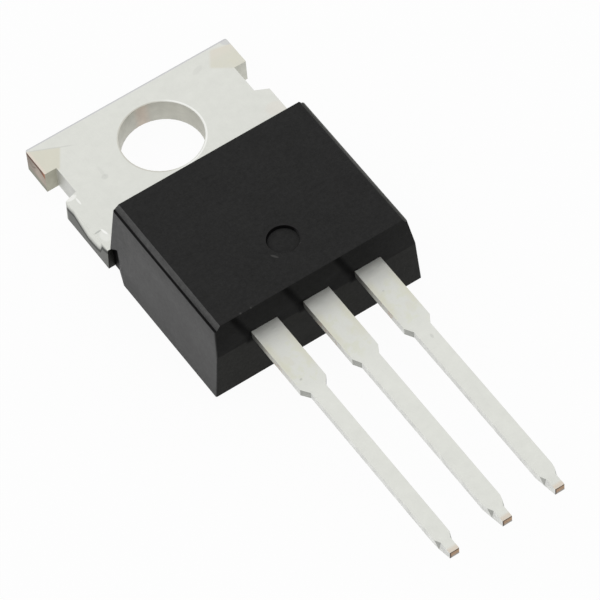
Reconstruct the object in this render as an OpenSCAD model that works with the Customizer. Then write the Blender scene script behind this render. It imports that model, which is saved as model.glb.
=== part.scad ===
// Power transistor in a three-lead, flat-tab package. It lies on its back: the header's bare
// back face is the plane z = 0, the tab points to +Y, the leads to -Y and the marked face is up.
// The origin is the centre of the mounting hole on the back face. All sizes are in millimetres.

/* [Tab] */
// Width of the tab
tab_w = 10.16; // [9.8:0.02:10.6]
// Thickness of the header plate
tab_t = 1.22; // [1.1:0.02:1.4]
// Diameter of the mounting hole
hole_d = 3.68; // [3.5:0.02:4.0]
// Centre of the hole to the free edge of the tab
hole_to_edge = 2.79; // [2.6:0.01:3.2]
// Centre of the hole to the tab's shoulders, where the body begins
hole_to_body = 3.68; // [3.5:0.01:4.2]
// Length of each ear along the side of the tab
ear_l = 1.56; // [1.3:0.02:1.7]
// Corner radius of the ears
ear_r = 0.1; // [0.05:0.05:0.5]
// Depth of the notch below each ear
notch_depth = 0.58; // [0.4:0.02:0.8]
// Length of the notch's straight floor
notch_l = 1.52; // [1.3:0.02:1.8]
// Run of the notch's slanted end along the tab
notch_run = 0.30; // [0.1:0.05:0.5]

/* [Pad inside the body] */
// Width of the header's bare back inside the body
pad_w = 8.2; // [7.6:0.1:8.6]
// Gap from the end of the header to the lead end of the body
pad_to_front = 2.35; // [2.1:0.05:2.8]
// Width of the lip that the body holds, on each side and at the end
lip_w = 0.3; // [0.15:0.05:0.4]
// Height of the underside of that lip above the back face
lip_z = 0.5; // [0.3:0.05:0.7]
// Width of the groove across the header that locks the body
groove_w = 0.5; // [0.3:0.05:0.7]
// Shoulders of the tab to the middle of that groove
groove_to_body = 0.8; // [0.6:0.05:0.9]

/* [Body] */
// Width of the body at its back face
body_w = 10.14; // [9.9:0.02:10.6]
// Length of the body from the shoulders to the parting line at the lead end
body_l = 8.17; // [7.9:0.01:9.2]
// Height of the body
body_h = 4.4; // [4.3:0.02:4.8]
// Draft of both sides, in degrees
side_draft = 4.5; // [3:0.5:7]
// Draft of both ends above the tab and the leads, in degrees
end_draft = 7; // [4:0.5:8]
// Draft of the lead end below the leads, in degrees
heel_draft = 1.2; // [0.6:0.2:3]
// Height of the raised top
crown_h = 0.2; // [0.1:0.02:0.3]
// Width of the ledge beside the raised top
ledge_w = 0.09; // [0.05:0.01:0.15]
// Run of the bevel on each side of the raised top
bevel_run = 0.18; // [0.1:0.02:0.25]

/* [Marks of the mould] */
// Diameter of the ejector dimple
dimple_d = 1.34; // [1.2:0.02:1.8]
// Depth of the ejector dimple
dimple_depth = 0.15; // [0.08:0.01:0.2]
// Width of the chamfered lip around the dimple
dimple_lip = 0.05; // [0.03:0.01:0.1]
// Centre of the dimple to the parting line at the lead end
dimple_to_front = 2.29; // [2:0.05:2.6]
// Length of the bay in each side, next to the tab's shoulders
bay_l = 1.12; // [0.8:0.02:1.3]
// Slope of the bay's roof, which climbs from the top of the tab, in degrees
bay_roof = 45; // [30:5:60]
// Depth of the bay from the side of the tab
bay_depth = 0.29; // [0.2:0.01:0.35]
// Length of the bay's flat floor, before it slants out
bay_floor_l = 0.32; // [0.2:0.02:0.5]

/* [Leads] */
// Distance between neighbouring leads
lead_pitch = 2.54; // [2.5:0.01:2.6]
// Thickness of the leads
lead_t = 0.38; // [0.34:0.01:0.48]
// Height of the leads' underside, which is also the body's parting line
lead_z = 2.72; // [2.6:0.02:2.8]
// Length of the leads from the body to the tip
lead_l = 13.42; // [12.7:0.02:14.2]
// Width of the stout part next to the body
stout_w = 1.27; // [1.14:0.01:1.4]
// Length of the stout part outside the body
stout_l = 3.5; // [3:0.1:3.9]
// Length of the shoulder between the stout and the slim part
shoulder_l = 0.38; // [0.2:0.02:0.6]
// Width of the slim part
slim_w = 0.81; // [0.7:0.01:0.9]
// Length of the tapered tip
tip_l = 1.1; // [0.8:0.02:1.2]
// Width of the tip's end
tip_w = 0.45; // [0.36:0.01:0.54]
// Length of the pinched top of the tip
pinch_l = 0.6; // [0.4:0.05:0.7]
// Run of the shoulder behind the pinched top
pinch_run = 0.35; // [0.2:0.05:0.4]
// Lean of the pinched top's sides, in degrees
pinch_lean = 13; // [8:1:16]

/* [Lead frame inside the body] */
// Length of the lead inside the body up to its bond post
neck_l = 0.75; // [0.65:0.05:0.9]
// Depth of the half-round keys in both edges of that length
key_r = 0.18; // [0.1:0.02:0.22]
// Width of the bond posts
post_w = 2.1; // [1.9:0.05:2.2]
// Length of the bond posts
post_l = 1.15; // [1.05:0.05:1.3]
// Shift of the bond posts away from the middle lead
post_shift = 0.2; // [0.1:0.05:0.3]
// Inner radius of both bends in the drain lead
joggle_r = 0.3; // [0.2:0.05:0.35]
// Slope of the drain lead between its bends, in degrees
joggle_slope = 62; // [60:1:70]

/* [Chip and wires] */
// Width of the chip across the header
die_w = 4.2; // [3.6:0.1:4.6]
// Length of the chip along the header
die_l = 3.0; // [2.6:0.1:3.2]
// Thickness of the chip
die_t = 0.25; // [0.2:0.01:0.3]
// Thickness of the solder under the chip
solder_t = 0.05; // [0.03:0.01:0.08]
// Width of the solder that shows around the chip
solder_rim = 0.12; // [0.05:0.01:0.2]
// Middle of the pad to the middle of the chip, towards the leads
die_shift = 0.25; // [0.1:0.05:0.4]
// Inset of the gate wire's foot from both edges of the chip's corner
gate_foot_inset = 0.5; // [0.3:0.05:0.7]
// Middle of the chip to the feet of the source wires, towards the tab
source_foot_shift = 0.45; // [0.2:0.05:0.6]
// Sideways run of the source wires
source_wire_lean = 1.55; // [1.4:0.05:1.8]
// Diameter of the gate wire
gate_wire_d = 0.15; // [0.12:0.01:0.2]
// Diameter of the two source wires
source_wire_d = 0.38; // [0.3:0.02:0.4]
// Distance between the two source wires
source_wire_gap = 0.85; // [0.75:0.05:0.95]
// Inner radius of the wires at the top of their loops
loop_r = 0.5; // [0.3:0.05:0.7]
// Slope of the wires up from the chip, in degrees
rise_slope = 42; // [36:1:46]
// Slope of the wires down to their posts, in degrees
fall_slope = 12; // [9:1:14]

/* [Hidden] */
$fn = 64;
over = 1;                                   // how far a cutter reaches past what it cuts
edge_y = hole_to_edge;                      // free edge of the tab
notch_y = edge_y - ear_l;                   // upper end of the notches
shoulder_y = -hole_to_body;                 // tab shoulders, back end of the body
front_y = shoulder_y - body_l;              // lead end of the body at the parting line
pad_end_y = front_y + pad_to_front;         // end of the header's bare back
crown_z = body_h - crown_h;                 // the ledge beside the raised top
lead_top_z = lead_z + lead_t;
tip_y = front_y - lead_l;
stout_y = front_y - stout_l;                // where a lead's stout part ends
neck_y = front_y + neck_l;                  // where a lead widens into its bond post
post_x = lead_pitch + post_shift;           // middle of a bond post
post_foot_y = neck_y + post_l / 2;          // and the wire's foot on it
die_y = (shoulder_y + pad_end_y) / 2 - die_shift;
die_top_z = tab_t + solder_t + die_t;
foot_centre = 0.6;                          // height of a wire above its foot's underside, in wire diameters

// ---- helpers ----

// A profile drawn as (y, z), made w wide across the part and centred on x = 0
module across(w)
    translate([-w / 2, 0, 0]) rotate([90, 0, 90]) linear_extrude(w) children();

// A profile drawn as (x, z), made from y0 back to y1
module along(y0, y1)
    translate([0, y0, 0]) rotate([90, 0, 0]) linear_extrude(y0 - y1) children();

// Points of an outline's right half, from the lowest up, closed with their mirror image
function closed(right) = concat(right, [for (p = [len(right) - 1:-1:0]) [-right[p][0], right[p][1]]]);

module both_sides() {
    children();
    mirror([1, 0, 0]) children();
}

// ---- header: tab, pad and drain lead, one stamping of two gauges ----

// The tab from above, from its free edge down to the shoulders
module tab_outline() {
    side = tab_w / 2;
    difference() {
        polygon(closed([
            [side, shoulder_y], [side, notch_y - notch_l - notch_run],
            [side - notch_depth, notch_y - notch_l], [side - notch_depth, notch_y],
            [side, notch_y], [side, edge_y]
        ]));
        both_sides() translate([side - ear_r, edge_y - ear_r]) difference() {
            square(ear_r + over);
            circle(ear_r);
        }
    }
}

module pad_outline(grow = 0) {
    half = pad_w / 2 + grow;
    translate([-half, pad_end_y - grow]) square([2 * half, shoulder_y - pad_end_y + grow]);
}

// Side view of the drain lead: flush with the header's top, up two bends, then level
module joggle_profile() {
    outer = joggle_r + lead_t;
    mid = joggle_r + lead_t / 2;
    rise = lead_top_z - tab_t;
    ramp = (rise - 2 * mid * (1 - cos(joggle_slope))) / sin(joggle_slope);
    low_y = pad_end_y - lip_w;
    high_y = low_y - 2 * mid * sin(joggle_slope) - ramp * cos(joggle_slope);
    translate([low_y, tab_t - lead_t]) square([lip_w + over, lead_t]);
    translate([low_y, tab_t + joggle_r]) {
        joggle_bend(270 - joggle_slope);
        rotate(-joggle_slope) translate([-ramp, -outer]) {
            square([ramp, lead_t]);
            translate([0, -joggle_r]) {
                joggle_bend(90);
                rotate(joggle_slope) translate([stout_y - high_y, joggle_r])
                    square([high_y - stout_y, lead_t]);
            }
        }
    }
}

// A bend of the sheet seen on edge, about the origin, from the angle start onwards
module joggle_bend(start) {
    outer = joggle_r + lead_t;
    intersection() {
        difference() {
            circle(outer);
            circle(joggle_r);
        }
        polygon([for (part = [-1:3])
            part < 0 ? [0, 0]
                : 2 * outer * [cos(start + part * joggle_slope / 3),
                               sin(start + part * joggle_slope / 3)]]);
    }
}

module drain_header() color("#d9dad4") {
    difference() {
        union() {
            linear_extrude(tab_t) tab_outline();
            linear_extrude(tab_t) pad_outline();
            translate([0, 0, lip_z]) linear_extrude(tab_t - lip_z) pad_outline(lip_w);
        }
        translate([0, 0, -over]) cylinder(d = hole_d, h = tab_t + 2 * over);
        across(tab_w + 2 * over) translate([shoulder_y - groove_to_body, tab_t])
            rotate(45) square(groove_w / sqrt(2), center = true);
    }
    across(stout_w) joggle_profile();
    difference() {
        translate([0, 0, lead_z]) linear_extrude(lead_t) lead_outline(front_y);
        tip_pinch();
    }
}

// ---- leads ----

// A lead from above, from inner_y out to its tip
module lead_outline(inner_y) {
    slim_y = stout_y - shoulder_l;
    taper_y = tip_y + tip_l;
    polygon(closed([
        [tip_w / 2, tip_y], [slim_w / 2, taper_y], [slim_w / 2, slim_y],
        [stout_w / 2, stout_y], [stout_w / 2, inner_y]
    ]));
}

// What the pinch takes off both sides of a tip's top: the sides lean out to the taper below
module tip_pinch() {
    both_sides() translate([tip_w / 2, tip_y, lead_top_z]) rotate([0, -pinch_lean, 0])
        translate([0, 0, -lead_t]) linear_extrude(2 * lead_t) polygon([
            [0, -over], [over, -over], [over, pinch_l + pinch_run],
            [(slim_w - tip_w) / 2, pinch_l + pinch_run], [0, pinch_l]
        ]);
}

// A side lead from above: its bond post leans away from the middle, its neck is keyed
module side_lead_outline() {
    difference() {
        union() {
            translate([lead_pitch, 0]) lead_outline(post_foot_y);
            translate([post_x - post_w / 2, neck_y]) square([post_w, post_l]);
        }
        for (side = [-1, 1])
            translate([lead_pitch + side * stout_w / 2, front_y + neck_l / 2]) circle(key_r);
    }
}

module source_lead() color("#cfd0ca")
    difference() {
        translate([0, 0, lead_z]) linear_extrude(lead_t) side_lead_outline();
        translate([lead_pitch, 0, 0]) tip_pinch();
    }

module gate_lead() mirror([1, 0, 0]) source_lead();

// ---- chip ----

module solder_layer() color("#9a9a9a")
    translate([-die_w / 2 - solder_rim, die_y - die_l / 2 - solder_rim, tab_t])
        cube([die_w + 2 * solder_rim, die_l + 2 * solder_rim, solder_t]);

module silicon_die() color("#4b5563")
    translate([-die_w / 2, die_y - die_l / 2, tab_t + solder_t])
        cube([die_w, die_l, die_t]);

// ---- bond wires ----

// Foot of a wire, pressed flat by the bonding tool, on z = 0 along X
module wire_foot(d) {
    foot_w = 1.3 * d;
    foot_l = 2.4 * d;
    linear_extrude(foot_centre * d) {
        square([foot_l - foot_w, foot_w], center = true);
        for (end = [-1, 1]) translate([end * (foot_l - foot_w) / 2, 0]) circle(d = foot_w);
    }
}

// An arc of wire about the origin in the XY plane, turning left by a from the angle start
module wire_arc(d, r, start, a)
    rotate(start) rotate_extrude(angle = a) translate([r, 0]) circle(d = d);

// One leg of a loop, from the crown's arc about the origin down to level on its foot
module wire_leg(d, foot_r, crown_r, slope, l)
    rotate(slope) translate([-l, crown_r]) {
        rotate([0, 90, 0]) cylinder(d = d, h = l);
        translate([0, foot_r]) wire_arc(d, foot_r, 270 - slope, slope);
    }

// A bonded wire: a foot at either end, a leg up from each and a crown that joins the legs
module bond_wire(from, to, d) {
    $fn = 24;
    way = [to[0] - from[0], to[1] - from[1]];
    foot_r = 1.6 * d;
    crown_r = loop_r + d / 2;
    over_a = rise_slope + fall_slope;
    dx = norm(way) - (foot_r + crown_r) * (sin(rise_slope) + sin(fall_slope));
    dz = to[2] - from[2] - (foot_r + crown_r) * (cos(fall_slope) - cos(rise_slope));
    climb = (dx * sin(fall_slope) + dz * cos(fall_slope)) / sin(over_a);
    drop = (dx * sin(rise_slope) - dz * cos(rise_slope)) / sin(over_a);
    crown_x = (foot_r + crown_r) * sin(rise_slope) + climb * cos(rise_slope);
    crown_y = foot_centre * d + foot_r - (foot_r + crown_r) * cos(rise_slope) + climb * sin(rise_slope);
    translate(from) rotate([0, 0, atan2(way[1], way[0])]) {
        wire_foot(d);
        translate([norm(way), 0, to[2] - from[2]]) wire_foot(d);
        rotate([90, 0, 0]) translate([crown_x, crown_y]) {
            wire_arc(d, crown_r, 90 - fall_slope, over_a);
            wire_leg(d, foot_r, crown_r, rise_slope, climb);
            mirror([1, 0, 0]) wire_leg(d, foot_r, crown_r, fall_slope, drop);
        }
    }
}

module source_wire(side) color("#e6e6e6") {
    foot_x = post_x + side * source_wire_gap / 2;
    bond_wire([foot_x - source_wire_lean, die_y + source_foot_shift, die_top_z],
              [foot_x, post_foot_y, lead_top_z], source_wire_d);
}

module source_wire_inner() source_wire(-1);

module source_wire_outer() source_wire(1);

module gate_wire() color("#e6e6e6")
    bond_wire([gate_foot_inset - die_w / 2, die_y - die_l / 2 + gate_foot_inset, die_top_z],
              [-post_x, post_foot_y, lead_top_z], gate_wire_d);

// ---- moulded body ----

// The body seen from the lead end, with the ledge and the bevel beside its raised top
module body_front() {
    base = body_w / 2;
    ledge = base - crown_z * tan(side_draft);
    polygon(closed([
        [base, 0], [ledge, crown_z], [ledge - ledge_w, crown_z], [ledge - ledge_w - bevel_run, body_h]
    ]));
}

// The body seen from the side, drafted up from the tab and both ways from the leads
module body_side() {
    polygon([
        [shoulder_y, 0], [shoulder_y, tab_t],
        [shoulder_y - (body_h - tab_t) * tan(end_draft), body_h],
        [front_y + (body_h - lead_z) * tan(end_draft), body_h],
        [front_y, lead_z], [front_y + lead_z * tan(heel_draft), 0]
    ]);
}

// A bay beside the tab's shoulder: its roof climbs and its floor slants out towards the leads
module side_bay() {
    floor_x = tab_w / 2 - bay_depth;
    near_y = shoulder_y + over;
    far_y = shoulder_y - bay_l;
    intersection() {
        across(2 * tab_w) polygon([
            [far_y, -over], [near_y, -over], [near_y, tab_t], [shoulder_y, tab_t],
            [far_y, tab_t + bay_l * tan(bay_roof)]
        ]);
        translate([0, 0, -over]) linear_extrude(body_h) polygon([
            [floor_x, near_y], [floor_x, shoulder_y - bay_floor_l],
            [tab_w / 2, far_y], [tab_w, far_y], [tab_w, near_y]
        ]);
    }
}

module dimple() {
    translate([0, front_y + dimple_to_front, body_h]) {
        translate([0, 0, -dimple_depth]) cylinder(d = dimple_d, h = dimple_depth + over);
        translate([0, 0, -dimple_lip])
            cylinder(r1 = dimple_d / 2, r2 = dimple_d / 2 + 2 * dimple_lip, h = 2 * dimple_lip);
    }
}

module mould_body() color("#2d2d2d")
    difference() {
        intersection() {
            along(shoulder_y, front_y) body_front();
            across(body_w) body_side();
        }
        both_sides() side_bay();
        dimple();
        drain_header();
        gate_lead();
        source_lead();
        solder_layer();
        silicon_die();
        gate_wire();
        source_wire_inner();
        source_wire_outer();
    }

mould_body();
drain_header();
gate_lead();
source_lead();
solder_layer();
silicon_die();
gate_wire();
source_wire_inner();
source_wire_outer();
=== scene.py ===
import math

import bmesh
import bpy
from mathutils import Matrix, Vector


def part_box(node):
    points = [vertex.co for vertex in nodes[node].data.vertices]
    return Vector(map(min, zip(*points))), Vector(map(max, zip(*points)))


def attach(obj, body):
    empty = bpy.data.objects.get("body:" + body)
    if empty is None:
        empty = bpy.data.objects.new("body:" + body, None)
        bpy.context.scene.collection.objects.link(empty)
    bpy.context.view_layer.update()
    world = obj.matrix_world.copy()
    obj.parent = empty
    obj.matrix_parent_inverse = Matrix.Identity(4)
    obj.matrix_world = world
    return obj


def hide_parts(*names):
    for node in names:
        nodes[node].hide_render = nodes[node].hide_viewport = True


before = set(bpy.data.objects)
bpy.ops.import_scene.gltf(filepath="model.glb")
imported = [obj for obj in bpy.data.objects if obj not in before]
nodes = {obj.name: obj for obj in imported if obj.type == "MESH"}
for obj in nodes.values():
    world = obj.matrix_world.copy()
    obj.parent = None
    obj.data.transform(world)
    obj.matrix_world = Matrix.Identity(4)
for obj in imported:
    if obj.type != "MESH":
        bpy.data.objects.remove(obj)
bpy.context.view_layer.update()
mm = 0.001                                          # lengths below are in mm, the scene in metres

cameraPlace = {
    "azimuth": -29.408,      # degrees round the part, 0 looks along +Y
    "elevation": 54.349,
    "roll": -5.592,
    "distance": 212.538,     # mm from the target
    "target": (-0.166, -10.734, 1.608),
    "lens": 310.957, "sensor": 36, "clip": (0.01, 10),
}


def addCamera(place):
    azimuth, elevation, roll = (math.radians(place[k]) for k in ("azimuth", "elevation", "roll"))
    back = Vector((math.sin(azimuth) * math.cos(elevation),
                   -math.cos(azimuth) * math.cos(elevation), math.sin(elevation)))
    level = Vector((math.cos(azimuth), math.sin(azimuth), 0))
    right = math.cos(roll) * level + math.sin(roll) * back.cross(level)
    turn = Matrix((right, back.cross(right), back)).transposed().to_4x4()
    data = bpy.data.cameras.new("studioCamera")
    data.lens, data.sensor_width = place["lens"], place["sensor"]
    data.clip_start, data.clip_end = place["clip"]
    camera = bpy.data.objects.new("studioCamera", data)
    camera.matrix_world = Matrix.Translation((Vector(place["target"]) + back * place["distance"]) * mm) @ turn
    bpy.context.scene.collection.objects.link(camera)
    bpy.context.scene.camera = camera


addCamera(cameraPlace)
print("camera placed")


# A value, colour or vector in a node tree, so that shader maths reads as plain maths
class Signal:
    def __init__(self, shader, socket):
        self.shader, self.socket = shader, socket

    def math(self, operation, *others):
        return self.shader.add("ShaderNodeMath", {"operation": operation}, dict(enumerate((self, *others))))

    def __add__(self, other):
        return self.math("ADD", other)

    def __sub__(self, other):
        return self.math("SUBTRACT", other)

    def __rsub__(self, other):
        return self.shader.add("ShaderNodeMath", {"operation": "SUBTRACT"}, {0: other, 1: self})

    def __mul__(self, other):
        return self.math("MULTIPLY", other)

    def __truediv__(self, other):
        return self.math("DIVIDE", other)

    def __abs__(self):
        return self.math("ABSOLUTE")

    def atLeast(self, other):
        return self.math("MAXIMUM", other)

    __radd__ = __add__
    __rmul__ = __mul__


# The node tree of a material or of the world, built by one method
class Shader:
    def __init__(self, owner):
        owner.use_nodes = True
        self.owner, self.tree = owner, owner.node_tree
        self.tree.nodes.clear()

    def add(self, kind, settings=None, values=None, out=0):
        node = self.tree.nodes.new(kind)
        for key, value in (settings or {}).items():
            if key == "stops":
                self.setStops(node.color_ramp.elements, value)
            else:
                setattr(node, key, value)
        for key, value in (values or {}).items():
            socket = node.inputs[key]
            if isinstance(value, Signal):
                self.tree.links.new(value.socket, socket)
            elif socket.type == "RGBA":
                socket.default_value = (*value, 1)
            else:
                socket.default_value = value
        return Signal(self, node.outputs[out]) if node.outputs else None

    def setStops(self, elements, stops):
        for at, colour in stops[1:-1]:
            elements.new(at).color = (*colour, 1)
        for element, (at, colour) in ((elements[0], stops[0]), (elements[-1], stops[-1])):
            element.position, element.color = at, (*colour, 1)

    def every(self, signal):                        # all outputs of a signal's node
        return [Signal(self, socket) for socket in signal.socket.node.outputs]

    def readSurface(self):                          # place in mm and true normal
        spot = self.add("ShaderNodeTexCoord", out="Object")
        self.place = self.add("ShaderNodeVectorMath", {"operation": "SCALE"}, {0: spot, "Scale": 1 / mm})
        self.x, self.y, self.z = self.every(self.add("ShaderNodeSeparateXYZ", values={0: self.place}))
        facing = self.add("ShaderNodeNewGeometry", out="True Normal")
        self.nx, self.ny, self.nz = self.every(self.add("ShaderNodeSeparateXYZ", values={0: facing}))
        return self

    def seenDirectly(self):                         # 1 where the eye, a reflection or clear glass looks
        eye, mirror, glass = (self.add("ShaderNodeLightPath", out=name) for name in
                              ("Is Camera Ray", "Is Glossy Ray", "Is Transmission Ray"))
        return eye.atLeast(mirror).atLeast(glass)

    def step(self, value, low, high):               # 0 below low, 1 above high, smooth between
        return self.add("ShaderNodeMapRange", {"interpolation_type": "SMOOTHSTEP"},
                        {0: value, 1: low, 2: high, 3: 0.0, 4: 1.0})

    def band(self, value, low, high, soft):         # 1 from low to high, with soft ends
        return self.step(value, low - soft, low + soft) * (1 - self.step(value, high - soft, high + soft))

    def noise(self, scale, detail=3.0, rough=0.55, stretch=(1, 1, 1), shift=(0, 0, 0)):
        spot = self.add("ShaderNodeMapping", {}, {0: self.place, "Location": shift, "Scale": stretch})
        return self.add("ShaderNodeTexNoise", {"noise_dimensions": "3D"},
                        {"Vector": spot, "Scale": scale, "Detail": detail, "Roughness": rough})

    def patchy(self, gains, *noises):                # an even share, then a share of each noise
        total = gains[0]
        for gain, noise in zip(gains[1:], noises):
            total = total + gain * noise
        return total

    def blot(self, x, y, halfX, halfY, lean=0.0, soft=0.5):    # 1 in a soft ellipse seen from above
        dx, dy = self.x - x, self.y - y
        if lean:
            along, over = math.cos(math.radians(lean)), math.sin(math.radians(lean))
            dx, dy = along * dx + over * dy, along * dy - over * dx
        dx, dy = dx / halfX, dy / halfY
        return 1 - self.step(dx * dx + dy * dy, 1 - soft, 1 + soft)

    def reach(self, x, y):                          # distance from an upright axis
        dx, dy = self.x - x, self.y - y
        return (dx * dx + dy * dy).math("SQRT")

    def mix(self, mask, a, b):
        return self.add("ShaderNodeMix", {"data_type": "RGBA"}, {0: mask, 6: a, 7: b}, out=2)

    def shade(self, colour, gain):                  # colour times a value
        grey = self.add("ShaderNodeCombineColor", {}, {0: gain, 1: gain, 2: gain})
        return self.add("ShaderNodeMix", {"data_type": "RGBA", "blend_type": "MULTIPLY"},
                        {0: 1.0, 6: colour, 7: grey}, out=2)

    def bump(self, height, strength, depth):
        return self.add("ShaderNodeBump", {}, {"Height": height, "Strength": strength, "Distance": depth * mm})

    def finish(self, values):
        surface = self.add("ShaderNodeBsdfPrincipled", {}, values)
        self.add("ShaderNodeOutputMaterial", {}, {"Surface": surface})
        return self.owner


lighting = {
    "ambient": 0.7,                                 # what diffuse surfaces get from the room
    "lamps": [                                      # name, place and size in mm, power in mW, aims at the part
        ("softboxLeft", (-140, -60, 150), 120, 14),
        ("softboxBack", (60, 150, 170), 140, 12),
    ],
    "aim": (0, -10, 0),
}


def addLighting(look):
    world = bpy.data.worlds.new("studioRoom")
    s = Shader(world)
    strength = look["ambient"] + (1 - look["ambient"]) * s.seenDirectly()
    room = s.add("ShaderNodeBackground", {}, {"Color": (1, 1, 1), "Strength": strength})
    s.add("ShaderNodeOutputWorld", {}, {"Surface": room})
    bpy.context.scene.world = world
    for name, place, size, power in look["lamps"]:
        lamp = bpy.data.lights.new(name, "AREA")
        lamp.shape, lamp.size, lamp.energy = "DISK", size * mm, power / 1000
        piece = bpy.data.objects.new(name, lamp)
        piece.location = Vector(place) * mm
        piece.rotation_euler = (Vector(look["aim"]) - Vector(place)).to_track_quat("-Z", "Y").to_euler()
        bpy.context.scene.collection.objects.link(piece)


floorLook = {"half": 1500, "drop": 0.02, "white": (0.95, 0.95, 0.95), "glow": 0.95}


def addFloor(look):
    mesh = bpy.data.meshes.new("studioFloor")
    half = look["half"] * mm
    mesh.from_pydata([(-half, -half, 0), (half, -half, 0), (half, half, 0), (-half, half, 0)], [], [(0, 1, 2, 3)])
    floor = bpy.data.objects.new("studioFloor", mesh)
    floor.location.z = -look["drop"] * mm
    bpy.context.scene.collection.objects.link(floor)
    s = Shader(bpy.data.materials.new("studioFloorWhite"))
    card = s.add("ShaderNodeBsdfDiffuse", {}, {"Color": look["white"]})
    glow = s.add("ShaderNodeEmission", {}, {"Strength": 1.0})
    both = s.add("ShaderNodeMixShader", {}, {0: look["glow"] * s.seenDirectly(), 1: card, 2: glow})
    s.add("ShaderNodeOutputMaterial", {}, {"Surface": both})
    mesh.materials.append(s.owner)


addLighting(lighting)
addFloor(floorLook)
print("floor and lighting in place")


# Where the piece departs from its nominal solid: low and high corner of a zone, then its shift, in mm
nudges = {
    "mould_body": [
        ((3, -13, 4.15), (5.2, 0, 4.3), (-0.06, 0, 0)),             # ledge on the right
        ((3, -13, 4.3), (5.2, 0, 4.45), (-0.005, 0, 0)),            # top on the right
        ((4.4, -13, -0.1), (5.2, -11, 4), (0.045, 0, 0)),           # right front corner
        ((-5.2, -13, -0.1), (-4.5, -3, 4.3), (-0.03, 0, 0)),        # left side
    ],
    "drain_header": [
        ((-5.2, -6, -0.1), (-4.9, -0.5, 0.6), (-0.06, 0, 0)),       # foot of the left side
        ((-5.2, -0.7, -0.1), (-4.9, -0.5, 0.6), (0, 0.15, 0)),      # left notch, below and above
        ((-5.2, -0.7, 0.6), (-4.9, -0.5, 1.3), (-0.04, 0.1, 0)),
        ((-0.5, -24.3, 2), (-0.2, -15.5, 4), (-0.012, 0, 0)),       # both walls of the drain lead
        ((0.2, -24.3, 2), (0.5, -15.5, 4), (0.02, 0, 0)),
    ],
    "gate_lead": [
        ((-3.0, -24.3, 2), (-2.7, -15.5, 4), (0.045, 0, 0)),        # both walls of the gate lead
        ((-2.38, -24.3, 2), (-2.1, -15.5, 4), (-0.035, 0, 0)),
    ],
}


def nudge(shape, zones):
    for low, high, shift in zones:
        for vertex in shape.verts:
            if all(a <= c / mm <= b for a, c, b in zip(low, vertex.co, high)):
                vertex.co += Vector(shift) * mm


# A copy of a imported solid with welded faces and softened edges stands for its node
softening = {"weld": 0.0008, "flatAngle": 0.4, "edgeAngle": 20, "widest": 0.25, "segments": 3}


def softened(nodeName, pieceName, widthOf, look=softening):
    mesh = nodes[nodeName].data.copy()
    mesh.name = pieceName
    shape = bmesh.new()
    shape.from_mesh(mesh)
    bmesh.ops.remove_doubles(shape, verts=shape.verts, dist=look["weld"] * mm)
    bmesh.ops.dissolve_limit(shape, angle_limit=math.radians(look["flatAngle"]),
                             verts=shape.verts, edges=shape.edges)
    nudge(shape, nudges.get(nodeName, []))
    weights = shape.edges.layers.float.new("bevel_weight_edge")
    for edge in shape.edges:
        edge[weights] = 0
        if len(edge.link_faces) == 2 and edge.calc_face_angle(0) > math.radians(look["edgeAngle"]):
            a, b = (v.co / mm for v in edge.verts)
            edge[weights] = min(1.0, widthOf((a + b) / 2, b - a) / look["widest"])
    shape.to_mesh(mesh)
    shape.free()
    for face in mesh.polygons:
        face.use_smooth = True
    piece = bpy.data.objects.new(pieceName, mesh)
    bpy.context.scene.collection.objects.link(piece)
    bevel = piece.modifiers.new("softEdges", "BEVEL")
    bevel.limit_method, bevel.width = "WEIGHT", look["widest"] * mm
    bevel.segments, bevel.use_clamp_overlap, bevel.harden_normals = look["segments"], True, True
    smooth = piece.modifiers.new("flatFaces", "WEIGHTED_NORMAL")
    smooth.keep_sharp = True
    mesh.materials.clear()
    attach(piece, "root")
    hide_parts(nodeName)
    return piece


# Widths of the softened metal edges, and where the body hides them
metalEdges = {"tab": 0.05, "lead": 0.035, "bodyBack": -3.7, "bodyFront": -11.8, "underLeads": 2.6}


def metalEdgeWidth(middle, run):
    look = metalEdges
    if middle.z > look["underLeads"] or middle.y < look["bodyFront"]:
        return look["lead"]
    if middle.y < look["bodyBack"]:
        return 0                                    # hidden inside the body
    return look["tab"]


# Widths of the rounded edges, and how near an edge has to be to count as one of them
bodyEdges = {"corner": 0.08, "top": 0.045, "foot": 0.06, "draft": 4.5, "upright": 0.6, "level": 0.01,
             "sideReach": 0.06, "frontReach": 0.25, "backReach": 0.45, "topReach": 0.3, "footReach": 0.1}


def bodyEdgeWidth(middle, run):
    look = bodyEdges
    low, high = (Vector(c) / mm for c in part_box("mould_body"))
    upright = abs(run.z) > look["upright"] * run.length
    wallX = high.x - middle.z * math.tan(math.radians(look["draft"]))
    atSide = abs(middle.x) > wallX - look["sideReach"]
    atEnd = middle.y < low.y + look["frontReach"] or middle.y > high.y - look["backReach"]
    if upright and atSide and atEnd:
        return look["corner"]
    if middle.z > high.z - look["level"] and middle.y < low.y + look["topReach"]:
        return look["top"]
    if middle.z < look["level"] and middle.y < low.y + look["footReach"]:
        return look["foot"]
    return 0


header = softened("drain_header", "tinnedHeader", metalEdgeWidth)
gateLead = softened("gate_lead", "tinnedGateLead", metalEdgeWidth)
sourceLead = softened("source_lead", "tinnedSourceLead", metalEdgeWidth)
body = softened("mould_body", "mouldedBody", bodyEdgeWidth)
print("solids softened")


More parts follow.
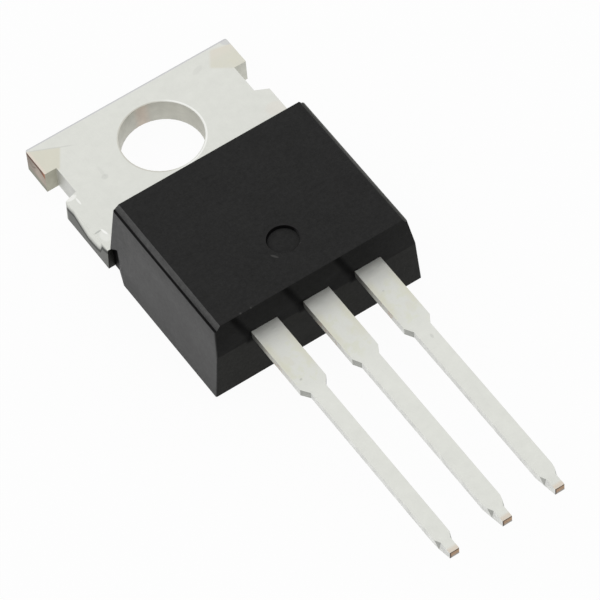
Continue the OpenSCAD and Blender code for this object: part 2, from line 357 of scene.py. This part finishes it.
mouldLook = {
    # painted light and shade among these colours: the sides, the left bevel and the right rim are painted light and the
    # glints are painted highlights; the right bevel, the ledge, the upper front darker than the lower, the shadows and
    # the bays are painted shade
    "top": (0.0280, 0.0280, 0.0277), "side": (0.096, 0.096, 0.0955), "bevel": (0.116, 0.116, 0.115),
    "bevelRightShaded": (0.050, 0.050, 0.049), "rimRight": (0.15, 0.15, 0.142), "ledge": (0.016, 0.016, 0.016),
    "upperFront": (0.0141, 0.0141, 0.0138), "lowerFront": (0.029, 0.029, 0.0275),
    "shadow": (0.0008, 0.0008, 0.0008), "bayShadow": (0.0012, 0.0012, 0.001), "glint": (0.065, 0.065, 0.063),
    "fleck": (0.09, 0.09, 0.088),
    # places in mm and turns of a face, each from low to high, bands with their softness
    "leftToRight": (-1, 1), "halfWidth": 5.07, "sideSlope": 0.0787,
    "turned": {"top": (0.93, 0.98), "side": (0.6, 0.95), "bevel": (0.3, 0.6), "front": (0.7, 0.9)},
    "crown": (4.195, 4.22), "ledgeUp": (4.165, 4.212, 0.014), "upperHalf": (2.6, 2.82), "parting": (2.69, 2.75, 0.03),
    "rim": {"across": (4.46, 4.64), "up": (4.14, 4.17)},
    "frontLight": {"across": (2.6, 4.4), "gain": 0.35},
    "leads": (-2.54, 0.0, 2.54),
    "slantShadow": {"foot": 1.24, "lean": 0.4, "top": 4.2, "across": (-0.18, 0.16, 0.14), "up": (2.5, 2.9), "strength": 0.9},
    "nookShadow": {"across": (-0.9, -0.4, 0.1), "up": (2.55, 3.2, 0.12)},
    "bay": {"deep": (0.05, 0.1), "along": (-4.95, -3.6, 0.02), "up": (2.2, 2.4),
            "facingAlong": (0.85, 0.95), "facingUp": (-0.9, -0.8)},
    "hollowShade": {"along": (-4.66, -4.5, 0.06), "up": (0.2, 0.95, 0.2), "strength": 0.8},
    "dimple": {"centre": (0.0, -9.56), "edge": (0.8, 0.82), "floor": (0.8, 0.9), "forwards": (-0.2, 0.35)},
    "glintsUp": (4.36, 4.38),
    "glints": [                                     # x, y, half sizes and lean, on the top
        (-0.77, -10.06, 0.05, 0.17, 35), (0.42, -10.08, 0.03, 0.07, 60),
        (-2.96, -11.62, 0.04, 0.05, 0), (-3.46, -11.6, 0.05, 0.04, 0),
    ],
    # scale, detail and roughness of each noise, and how much of each goes into the texture after an even share
    "grain": (13, 4, 0.7), "speck": (5, 2), "mottle": (1.1, 3), "mottleShift": (3, 1, 0),
    "texture": (0.2, 0.3, 0.5, 0.8), "partingDim": 0.25,
    "flecks": {"from": (0.62, 0.68), "strength": 0.5, "grain": 0.4, "lessOnTop": 0.4},
    "roughness": {"plain": 0.62, "grain": 0.2, "side": 0.15}, "specular": 0.04,
    "bump": {"speck": 0.4, "strength": 0.5, "depth": 0.02},
}


def makeMould(look):
    s = Shader(bpy.data.materials.new("mouldCompound")).readSurface()
    grain, speck = s.noise(*look["grain"]), s.noise(*look["speck"])
    mottle = s.noise(*look["mottle"], shift=look["mottleShift"])
    turned = look["turned"]
    left = 1 - s.step(s.x, *look["leftToRight"])
    sideways, forwards = abs(s.nx), 0 - s.ny
    flatTop = s.step(s.nz, *turned["top"])
    crown = s.step(s.z, *look["crown"])
    ledge = s.band(s.z, *look["ledgeUp"]) * left
    side = s.step(sideways, *turned["side"])
    bevel = s.step(sideways, *turned["bevel"]) * crown
    front = s.step(forwards, *turned["front"])
    lower = 1 - s.step(s.z, *look["upperHalf"])
    parting = s.band(s.z, *look["parting"]) * front

    # top, sides, bevels and the ledge beside the raised top: the sides and the left bevel painted lighter than the top
    # as painted sheen from the left light on a smoother finish, the right bevel painted darker, a painted highlight
    # along the right top edge and painted shade in the ledge on the left
    colour = s.mix(side, look["top"], look["side"])
    colour = s.mix(bevel, colour, s.mix(left, look["bevelRightShaded"], look["bevel"]))
    rim = s.step(s.x, *look["rim"]["across"]) * s.step(s.z, *look["rim"]["up"])
    rim = rim * flatTop.atLeast(bevel)
    colour = s.mix(rim, colour, look["rimRight"])
    colour = s.mix(ledge * (1 - bevel), colour, look["ledge"])

    # front wall: its upper slope painted darker than its lower half and lighter towards the right, as painted shade and
    # light, with painted shadows in slanting bands and in nooks beside the leads
    lift = look["frontLight"]
    frontColour = s.shade(look["upperFront"], 1 + lift["gain"] * s.step(s.x, *lift["across"]))
    frontColour = s.mix(lower, frontColour, look["lowerFront"])
    slantShadow, nookShadow = look["slantShadow"], look["nookShadow"]
    for lead in look["leads"]:
        line = s.x - (lead - slantShadow["foot"]) - slantShadow["lean"] * (slantShadow["top"] - s.z)
        dark = s.band(line, *slantShadow["across"]) * s.step(s.z, *slantShadow["up"])
        corner = s.band(s.x - lead, *nookShadow["across"]) * s.band(s.z, *nookShadow["up"])
        frontColour = s.mix(slantShadow["strength"] * dark.atLeast(corner), frontColour, look["shadow"])
    colour = s.mix(front, colour, frontColour)

    # matt texture with pale flecks
    flecks = look["flecks"]
    gain = s.patchy(look["texture"], mottle, speck, grain)
    colour = s.shade(colour, gain * (1 - look["partingDim"] * parting))
    fleck = s.step(speck * (1 - flecks["grain"] + flecks["grain"] * grain), *flecks["from"])
    fleck = fleck * (1 - flecks["lessOnTop"] * flatTop)
    colour = s.mix(fleck * flecks["strength"], colour, look["fleck"])

    # painted shadow in the bays beside the tab and painted shade in the hollow spot in the left side
    bay, hollowShade = look["bay"], look["hollowShade"]
    inset = look["halfWidth"] - look["sideSlope"] * s.z - abs(s.x)
    inBay = s.step(inset, *bay["deep"]) * s.band(s.y, *bay["along"]) * (1 - s.step(s.z, *bay["up"]))
    inBay = inBay * (1 - s.step(abs(s.ny), *bay["facingAlong"])) * s.step(s.nz, *bay["facingUp"])
    colour = s.mix(inBay, colour, look["bayShadow"])
    spot = s.band(s.y, *hollowShade["along"]) * s.band(s.z, *hollowShade["up"]) * side * left
    colour = s.mix(spot * hollowShade["strength"], colour, look["ledge"])

    # painted shadow on the back half of the dimple's wall, and painted glints on the top
    dimple = look["dimple"]
    wall = (1 - s.step(s.reach(*dimple["centre"]), *dimple["edge"])) * crown
    wall = wall * (1 - s.step(s.nz, *dimple["floor"]))
    colour = s.mix(wall, colour, s.mix(s.step(forwards, *dimple["forwards"]), look["top"], look["shadow"]))
    glintLevel = s.step(s.z, *look["glintsUp"])
    for x, y, halfX, halfY, lean in look["glints"]:
        colour = s.mix(s.blot(x, y, halfX, halfY, lean) * glintLevel, colour, look["glint"])

    bump, rough = look["bump"], look["roughness"]
    normal = s.bump(grain + bump["speck"] * speck, bump["strength"], bump["depth"])
    roughness = rough["plain"] + rough["grain"] * (grain - 0.5) - rough["side"] * side
    return s.finish({"Base Color": colour, "Roughness": roughness,
                     "Specular IOR Level": look["specular"], "Normal": normal})


tinLook = {
    # painted light and shade among these colours: the bright one is a painted highlight; the edge colour, the
    # shoulders, the near lead walls, the lead facets and the ears' shaded corner are painted shade
    "flat": (0.662, 0.669, 0.629), "beige": (0.61, 0.595, 0.50), "pink": (0.70, 0.62, 0.55),
    "smudge": (0.40, 0.41, 0.385), "bright": (0.90, 0.90, 0.88), "edge": (0.52, 0.52, 0.54),
    "wall": (0.62, 0.625, 0.60), "fracture": (0.17, 0.172, 0.162), "fractureRim": (0.035, 0.037, 0.032),
    "earFront": (0.46, 0.452, 0.375), "earFrontRight": (0.62, 0.62, 0.56),
    "earSide": (0.42, 0.36, 0.305), "earFoot": (0.28, 0.285, 0.235), "copper": (0.13, 0.065, 0.04),
    "copperEnd": (0.40, 0.17, 0.09), "earScratchAndShade": (0.13, 0.10, 0.075),
    "holeWall": (0.56, 0.555, 0.50), "holeStain": (0.62, 0.52, 0.44), "shoulder": (0.010, 0.010, 0.007),
    "leadWallNearShade": (0.66, 0.655, 0.60), "leadWallFar": (0.76, 0.765, 0.74), "leadStain": (0.45, 0.30, 0.19),
    "leadFacetShade": (0.42, 0.425, 0.40), "leadCloud": (0.62, 0.63, 0.52), "leadEdge": (0.62, 0.61, 0.49),
    "tipCore": (0.44, 0.31, 0.21), "tipRim": (0.075, 0.055, 0.045), "tipFoot": (0.36, 0.355, 0.34),
    "tipSmear": (0.66, 0.60, 0.52),
    # places in mm and turns of a face, each from low to high, bands with their softness
    "turned": {"wall": (0.35, 0.8), "top": (0, 0.3), "front": (0.6, 0.9), "facet": (0.25, 0.5)},
    "leftToRight": (-0.1, 0.1), "leadsFrom": (11.75, 11.85), "hole": 1.84, "tabBack": (2.70, 2.74), "edgeStrength": 0.8,
    # scale, detail and roughness of each noise
    "blotch": (0.9, 4, 0.6), "fine": (16, 3), "cloud": (2.2, 3, 0.6), "streak": (3, 3),
    "cloudShift": (0, 5, 2), "streakStretch": (1, 0.12, 1),
    "gains": {                                      # an even share, then a share of each noise
        "flat": (0.86, 0.10, 0.1, 0.03, 0.05), "wall": (0.85, 0.3), "burnished": (1.0, 0.16, 0.14),
        "torn": (0.75, 0.5), "tornRim": (0.6, 0.4), "cut": (0.55, 0.5, 0.4), "copper": (0.7, 0.6),
        "earFront": (0.85, 0.3), "hole": (0.9, 0.25), "tip": (0.6, 0.8),
    },
    "ear": {                                        # left ear: a crease cuts it off slantwise
        "lean": 0.48, "place": 0.26, "wave": 0.04, "front": (-0.06, 0.02), "along": (1.0, 1.2), "strength": 0.8,
        "sideLean": 0.64, "side": (-5.17, -5.03), "pinkSide": (-5.0, -4.93), "pinkStrength": 0.6,
        "crack": (-0.03, 0.03, 0.03), "crackAcross": (-5.0, -3.3, 0.25), "crackStrength": 0.32,
    },
    "farEar": {                                     # right ear: a patch between three slanted lines
        "lines": [(0.594, 0.805, 3.56, 3.72), (0.837, -0.548, 1.96, 2.14)], "back": (0.22, 3.46, 3.62),
        "plain": 0.4, "cloud": 0.5, "pink": 0.4, "pinkAlong": (1.9, 2.4),
    },
    "rim": {"line": (0.03, 0.1, 0.015), "right": (0.4, -0.2, 1.0), "strength": 0.6, "lip": (0.05, 0.07)},
    "fractureLine": [(-3.68, 1.12), (-3.53, 1.05), (-3.24, 0.99), (-3.1, 0.62), (-2.93, 0.52), (-2.5, 0.47),
                     (-2.17, 0.45), (-1.91, 0.54), (-1.6, 0.67), (-1.39, 0.77), (-1.08, 0.9), (-0.69, 0.82),
                     (-0.36, 0.79)],
    "torn": {"waveRight": 0.5, "wave": 0.06, "edge": (-0.03, 0.03), "rim": (-0.12, 0.07, 0.03), "shadeFade": (0.0, 0.42),
             "fadeStrength": 0.7, "across": (4.9, 4.98), "front": (-0.6, -0.45)},
    "earWall": {
        "along": (1.0, 1.2), "across": (4.95, 5.0), "dimAlong": (1.8, 2.5), "dim": 0.3, "foot": (0.1, 0.5),
        "scratchMeet": (2.28, 0.62), "scratchSlope": 0.9, "scratch": (-0.05, 0.05, 0.04),
        "scratchAlong": (2.0, 2.6, 0.06), "scratchStrength": 0.5, "backShade": (2.62, 2.78), "backStrength": 0.7,
        "copperFoot": 1.05, "copperRise": 0.16, "copperAlong": (1.3, 1.75), "copperWave": 0.14,
        "copperEdge": (-0.05, 0.03), "copperTurn": (1.2, 1.55), "frontAlong": (0.8, 1.0),
    },
    "holeWallBand": {"reach": (0.03, 0.08), "stain": (-0.15, 0.4, 0.2), "strength": 0.6},
    "shoulderAlong": (-3.6, -3.5),
    "marks": [                                      # x, y, half sizes, lean, strength and finish, on the tab's top; the bright ones are painted highlights along the rounded left edge, and the edge one is painted shade at the right ear's back corner
        (-3.06, -0.06, 0.07, 0.36, 0, 0.1, "smudge"), (-3.09, -0.37, 0.15, 0.13, 0, 0.24, "smudge"),
        (-4.89, -2.62, 0.17, 0.04, 5, 0.7, "smudge"), (-4.66, -2.76, 0.05, 0.2, 12, 0.7, "bright"),
        (-4.75, -2.98, 0.2, 0.3, 0, 0.25, "bright"), (-4.86, -0.47, 0.26, 0.13, 0, 0.5, "bright"),
        (-4.68, -0.79, 0.045, 0.2, 0, 0.6, "bright"), (4.72, -1.65, 0.45, 0.4, -30, 0.22, "pink"),
        (3.15, 2.05, 0.3, 0.13, 20, 0.12, "smudge"), (4.95, 2.62, 0.25, 0.16, -40, 0.5, "edge"),
    ],
    "leadMarks": [                                  # the same, on the leads
        (-2.85, -14.94, 0.06, 0.05, 20, 0.6, "smudge"), (-2.75, -13.9, 0.14, 0.3, 10, 0.35, "beige"),
        (2.30, -13.3, 0.05, 0.05, 0, 0.4, "smudge"), (2.75, -14.6, 0.16, 0.3, 0, 0.3, "beige"),
        (2.62, -16.3, 0.06, 0.12, 0, 0.3, "smudge"), (0.2, -14.2, 0.2, 0.35, 15, 0.25, "beige"),
    ],
    "leadPitch": 2.54, "leadMiddle": 2.91,
    "lead": {                                       # distances along the lead are counted from the hole's axis
        "wallTurn": (12.8, 15.2), "exitDim": 0.35, "exitLight": 0.65, "exitAlong": (12.0, 13.2),
        "stainCloud": (0.53, 0.6), "stainFine": (0.4, 0.55), "stainAlong": (-14.6, -12.7, 0.3), "stainStrength": 0.6,
        "nearGain": 0.38, "nearAlong": (12.0, 12.8), "farGain": 0.04, "farAlong": (14.3, 16.5),
        "cloud": (0.48, 0.62), "cloudAlong": (-15.4, -12.8, 0.5), "cloudStrength": 0.5,
        "edge": (0.25, 0.55), "edgeAlong": (-14.6, -12.6, 0.4), "edgeStrength": 0.5,
    },
    "tip": {"foot": (-0.16, -0.04), "rimLeft": (-0.2, -0.13), "rimTop": (0.09, 0.15), "rimStrength": 0.9,
            "face": (-25.25, -25.21), "smear": (-25.17, -24.97)},
    "roughness": {"plain": 0.36, "blotch": 0.14, "wall": 0.14},
    "bump": {"streak": 1.5, "cloud": 1.5, "strength": 0.3, "depth": 0.014},
}


def makeTin(look):
    s = Shader(bpy.data.materials.new("tinPlate")).readSurface()
    blotch, fine = s.noise(*look["blotch"]), s.noise(*look["fine"])
    cloud = s.noise(*look["cloud"], shift=look["cloudShift"])
    streak = s.noise(*look["streak"], stretch=look["streakStretch"])
    turned, gains = look["turned"], look["gains"]
    wall = 1 - s.step(abs(s.nz), *turned["wall"])
    top = s.step(s.nz, *turned["top"])
    forwards = s.step(0 - s.ny, *turned["front"])
    right = s.step(s.x, *look["leftToRight"])
    gone = 0 - s.y                                  # how far towards the leads
    leads = s.step(gone, *look["leadsFrom"])
    plain = s.shade(look["flat"], s.patchy(gains["flat"], blotch, cloud, streak, fine))

    # ears and small marks on the flat of the tab
    ear = look["ear"]
    crease = s.y + ear["lean"] * s.x - ear["place"] + ear["wave"] * (cloud - 0.5)
    onEar = (1 - s.step(crease, *ear["front"])) * s.step(s.y, *ear["along"]) * top
    onEar = onEar * (1 - s.step(s.x - ear["sideLean"] * s.y, *ear["side"]))
    flat = s.mix(onEar * ear["strength"], plain, look["beige"])
    flat = s.mix(onEar * (1 - s.step(s.x, *ear["pinkSide"])) * ear["pinkStrength"], flat, look["pink"])
    crack = s.band(crease, *ear["crack"]) * s.band(s.x, *ear["crackAcross"]) * top
    flat = s.mix(crack * ear["crackStrength"], flat, look["smudge"])
    far = look["farEar"]
    onFar, other = (s.step(a * s.x + b * s.y, low, high) for a, b, low, high in far["lines"])
    lean, low, high = far["back"]
    onFar = onFar * other
    onFar = onFar * (1 - s.step(s.y + lean * s.x, low, high)) * top
    farColour = s.mix(far["pink"] * s.step(s.y, *far["pinkAlong"]), look["beige"], look["pink"])
    flat = s.mix(onFar * (far["plain"] + far["cloud"] * cloud), flat, farColour)
    for x, y, halfX, halfY, lean, strength, finish in look["marks"]:
        flat = s.mix(s.blot(x, y, halfX, halfY, lean) * top * strength, flat, look[finish])

    # painted highlight on the right of the hole's rim, the hole wall's colour on the rest of its lip, and painted shade
    # along the rolled back edge
    rim, hole = look["rim"], look["hole"]
    reach = s.reach(0, 0)
    low, high, soft = rim["line"]
    onRim = s.band(reach, hole + low, hole + high, soft) * top
    lean, low, high = rim["right"]
    rimRight = s.step(s.x - lean * s.y, low, high)
    flat = s.mix(onRim * rim["strength"] * rimRight, flat, look["bright"])
    lip = (1 - s.step(reach, *(hole + d for d in rim["lip"]))) * (1 - rimRight)
    flat = s.mix(lip, flat, look["holeWall"])
    flat = s.mix(s.step(s.y, *look["tabBack"]) * look["edgeStrength"], flat, look["edge"])

    # cut walls of the tab: burnished above a ragged line with painted shade fading down to it, torn below it
    torn, span = look["torn"], look["fractureLine"]
    start, end = span[0][0], span[-1][0]
    line = s.add("ShaderNodeValToRGB", {"stops": [((y - start) / (end - start), (z, z, z)) for y, z in span]},
                 {0: (s.y - start) / (end - start)})
    line = line + torn["waveRight"] * (cloud - 0.5) * right + torn["wave"] * (fine - 0.5)
    below = 1 - s.step(s.z - line, *torn["edge"])
    tornRim = s.band(s.z - line, *torn["rim"]) * s.patchy(gains["tornRim"], fine)
    shadeFade = 1 - s.step(s.z - line, *torn["shadeFade"])
    wide = s.step(abs(s.x), *torn["across"]) * (1 - s.step(s.y, *torn["front"]))
    tabWall = s.shade(look["wall"], s.patchy(gains["wall"], blotch))
    tabWall = s.mix(wide, tabWall, s.shade(look["flat"], s.patchy(gains["burnished"], cloud, fine)))
    tabWall = s.mix(wide * shadeFade * torn["fadeStrength"], tabWall, look["fracture"])
    tabWall = s.mix(wide * below, tabWall, s.shade(look["fracture"], s.patchy(gains["torn"], fine)))
    tabWall = s.mix(wide * tornRim, tabWall, look["fractureRim"])

    # cut sides of the ears: two scratches, painted shade in the back corner and bare copper above a wavy line
    ear = look["earWall"]
    cut = s.patchy(gains["cut"], cloud, fine)
    onEarWall = s.step(s.y, *ear["along"]) * s.step(abs(s.x), *ear["across"]) * (1 - forwards)
    dim = 1 - ear["dim"] * s.step(s.y, *ear["dimAlong"])
    earSide = s.shade(look["earSide"], cut * dim)
    earSide = s.mix(1 - s.step(s.z, *ear["foot"]), earSide, look["earFoot"])
    meetY, meetZ = ear["scratchMeet"]
    vee = abs(s.y - meetY) * ear["scratchSlope"] + meetZ
    scratch = s.band(s.z - vee, *ear["scratch"]) * s.band(s.y, *ear["scratchAlong"])
    earSide = s.mix(scratch * ear["scratchStrength"] * (1 - right), earSide, look["earScratchAndShade"])
    earSide = s.mix(s.step(s.y, *ear["backShade"]) * ear["backStrength"], earSide, look["earScratchAndShade"])
    lowest = (ear["copperFoot"] - ear["copperRise"] * (1 - s.step(s.y, *ear["copperAlong"]))
              + ear["copperWave"] * (cloud - 0.5))
    copper = s.mix(s.step(s.y, *ear["copperTurn"]), look["copperEnd"], look["copper"])
    copper = s.shade(copper, s.patchy(gains["copper"], cloud))
    earSide = s.mix(s.step(s.z - lowest, *ear["copperEdge"]), earSide, copper)
    tabWall = s.mix(onEarWall, tabWall, earSide)
    earFront = s.mix(right, look["earFront"], look["earFrontRight"])
    earFront = s.shade(earFront, s.patchy(gains["earFront"], cloud))
    tabWall = s.mix(forwards * s.step(s.y, *ear["frontAlong"]), tabWall, earFront)

    # wall of the hole, and painted shade on the shoulders under the body, where they mirror the dark body
    band = look["holeWallBand"]
    inHole = 1 - s.step(reach, *(hole + d for d in band["reach"]))
    holeWall = s.mix(s.band(s.x, *band["stain"]) * band["strength"], look["holeWall"], look["holeStain"])
    tabWall = s.mix(inHole, tabWall, s.shade(holeWall, s.patchy(gains["hole"], streak)))
    tabWall = s.mix(forwards * (1 - s.step(s.y, *look["shoulderAlong"])), tabWall, look["shoulder"])

    # cut walls of the leads: stained near the body, painted shade darkening them near the body and most where they
    # leave it, and painted shade on the tapered facets
    lead = look["lead"]
    leadWall = s.mix(s.step(gone, *lead["wallTurn"]), look["leadWallNearShade"], look["leadWallFar"])
    facet = s.step(0 - s.ny, *turned["facet"]) * (1 - forwards)
    leadWall = s.mix(facet, leadWall, look["leadFacetShade"])
    stain = s.step(cloud, *lead["stainCloud"]) * s.step(fine, *lead["stainFine"]) * s.band(s.y, *lead["stainAlong"])
    leadWall = s.mix(stain * lead["stainStrength"], leadWall, look["leadStain"])
    exitGain = lead["exitDim"] + lead["exitLight"] * s.step(gone, *lead["exitAlong"])
    leadWall = s.shade(leadWall, cut * exitGain)

    # bare copper at the cropped tips
    tip = look["tip"]
    across = s.x - look["leadPitch"] * (s.x / look["leadPitch"]).math("ROUND")
    rise = s.z - look["leadMiddle"]
    core = s.shade(look["tipCore"], s.patchy(gains["tip"], fine))
    tipFace = s.mix(1 - s.step(rise, *tip["foot"]), core, look["tipFoot"])
    tipRim = (1 - s.step(across, *tip["rimLeft"])).atLeast(s.step(rise, *tip["rimTop"]))
    tipFace = s.mix(tipRim * tip["rimStrength"], tipFace, look["tipRim"])
    atTip = 1 - s.step(s.y, *tip["face"])
    leadWall = s.mix(atTip * forwards, leadWall, tipFace)

    # flats of the leads: brighter under the body, cloudy and beige near it, smeared at the tips
    near = lead["nearGain"] * (1 - s.step(gone, *lead["nearAlong"]))
    leadFlat = s.shade(plain, 1.0 + near + lead["farGain"] * s.step(gone, *lead["farAlong"]))
    for x, y, halfX, halfY, lean, strength, finish in look["leadMarks"]:
        leadFlat = s.mix(s.blot(x, y, halfX, halfY, lean) * strength, leadFlat, look[finish])
    cloudy = s.step(cloud, *lead["cloud"]) * s.band(s.y, *lead["cloudAlong"])
    leadFlat = s.mix(cloudy * lead["cloudStrength"], leadFlat, look["leadCloud"])
    edge = s.step(abs(across), *lead["edge"]) * s.band(s.y, *lead["edgeAlong"])
    leadFlat = s.mix(edge * lead["edgeStrength"], leadFlat, look["leadEdge"])
    leadFlat = s.mix(1 - s.step(s.y, *tip["smear"]), leadFlat, look["tipSmear"])

    bump, rough = look["bump"], look["roughness"]
    colour = s.mix(wall, s.mix(leads, flat, leadFlat), s.mix(leads, tabWall, leadWall))
    normal = s.bump(fine + bump["streak"] * streak + bump["cloud"] * cloud, bump["strength"], bump["depth"])
    return s.finish({"Base Color": colour, "Metallic": 1.0, "Normal": normal,
                     "Roughness": rough["plain"] + rough["blotch"] * blotch + rough["wall"] * wall})


mould, tin = makeMould(mouldLook), makeTin(tinLook)
body.data.materials.append(mould)
for piece in (header, gateLead, sourceLead):
    piece.data.materials.append(tin)


innerLook = {                                       # colour, metallic, roughness, scale of the clouds, nodes
    "softSolder": ((0.35, 0.35, 0.36), 1.0, 0.4, 3, ["solder_layer"]),
    "siliconChip": ((0.1, 0.12, 0.16), 0.3, 0.15, 2, ["silicon_die"]),
    "bondAluminium": ((0.8, 0.8, 0.8), 1.0, 0.3, 6, ["gate_wire", "source_wire_inner", "source_wire_outer"]),
}


def finishInside(look):
    for name, (colour, metallic, rough, scale, parts) in look.items():
        s = Shader(bpy.data.materials.new(name)).readSurface()
        cloud = s.noise(scale)
        material = s.finish({"Base Color": s.shade(colour, 0.85 + cloud * 0.3), "Metallic": metallic,
                             "Roughness": rough + cloud * 0.15, "Normal": s.bump(cloud, 0.2, 0.01)})
        for part in parts:
            nodes[part].data.materials.clear()
            nodes[part].data.materials.append(material)


finishInside(innerLook)
print("materials assigned")

bpy.context.scene.view_settings.view_transform = "Standard"
